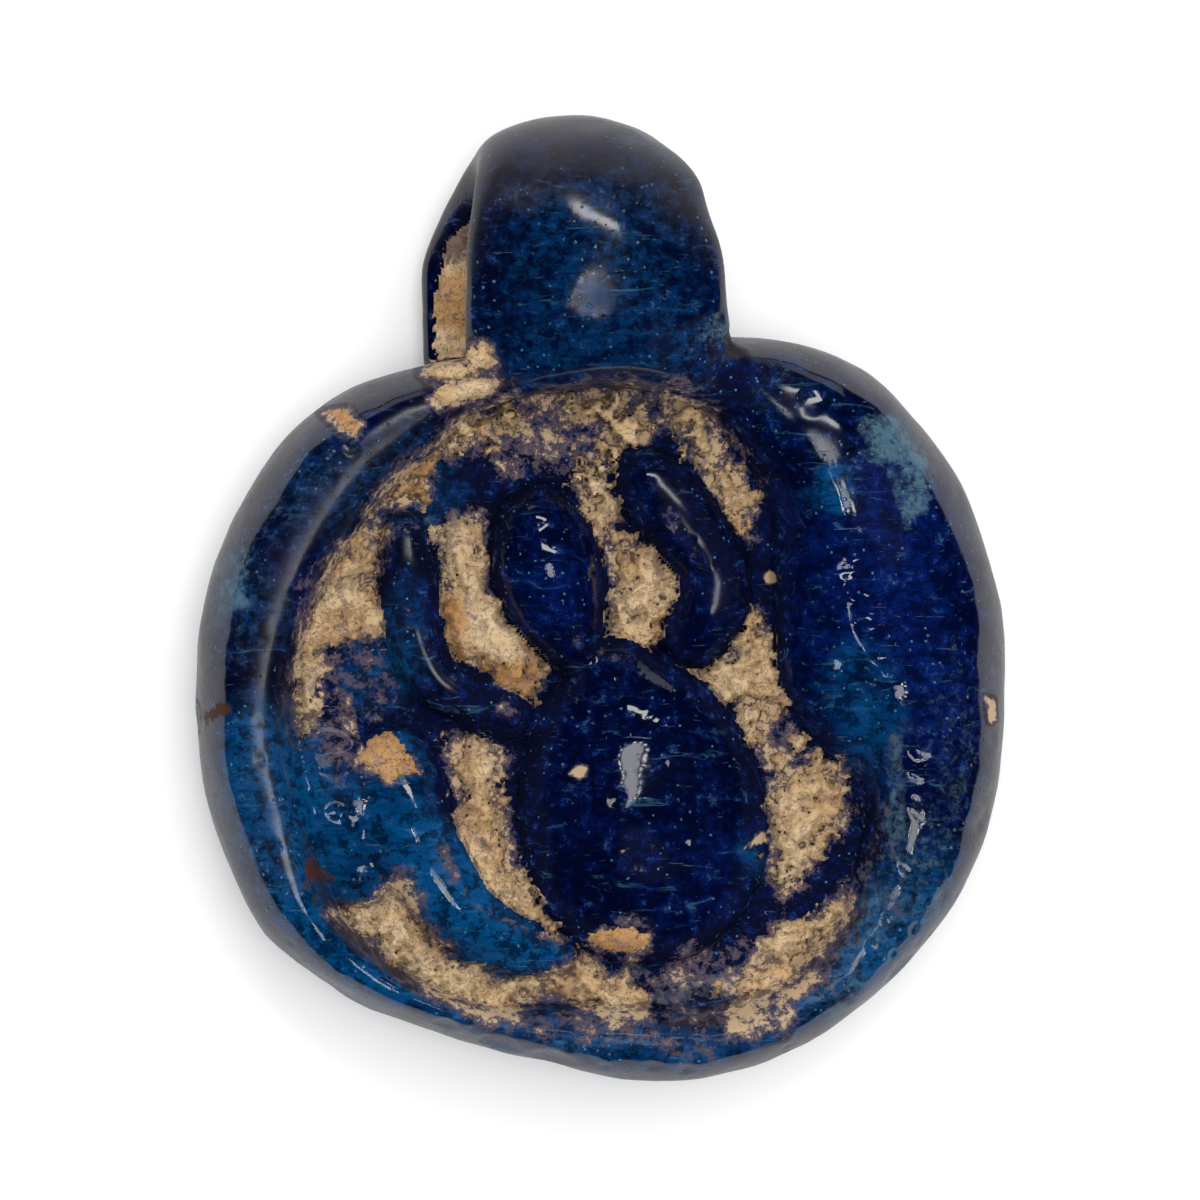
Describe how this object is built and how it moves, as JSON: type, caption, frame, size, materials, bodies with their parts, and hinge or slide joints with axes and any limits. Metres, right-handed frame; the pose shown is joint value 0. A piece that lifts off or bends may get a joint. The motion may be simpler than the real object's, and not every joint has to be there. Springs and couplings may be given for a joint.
{
  "type": "glass pendant",
  "caption": "Stamped round glass pendant with a folded strap loop; a squat animal stands in relief in the sunken field of its front.",
  "frame": {"origin": "on the flat back, under the middle of the round pad", "axes": "+Y from the pad to the loop, +Z out of the stamped front; the pendant lies on its back"},
  "size_m": [0.02, 0.0236, 0.0062],
  "materials": {
    "cobalt_glass": "glossy deep cobalt-blue glass, see-through only at thin edges, worn, with fine scratches, bubbles and patches of grey-blue weathering",
    "burial_soil": "dry tan soil, matt and crumbly, caked in the hollows"
  },
  "bodies": {
    "root": {"glass_pendant": "cobalt_glass"}
  },
  "joints": []
}
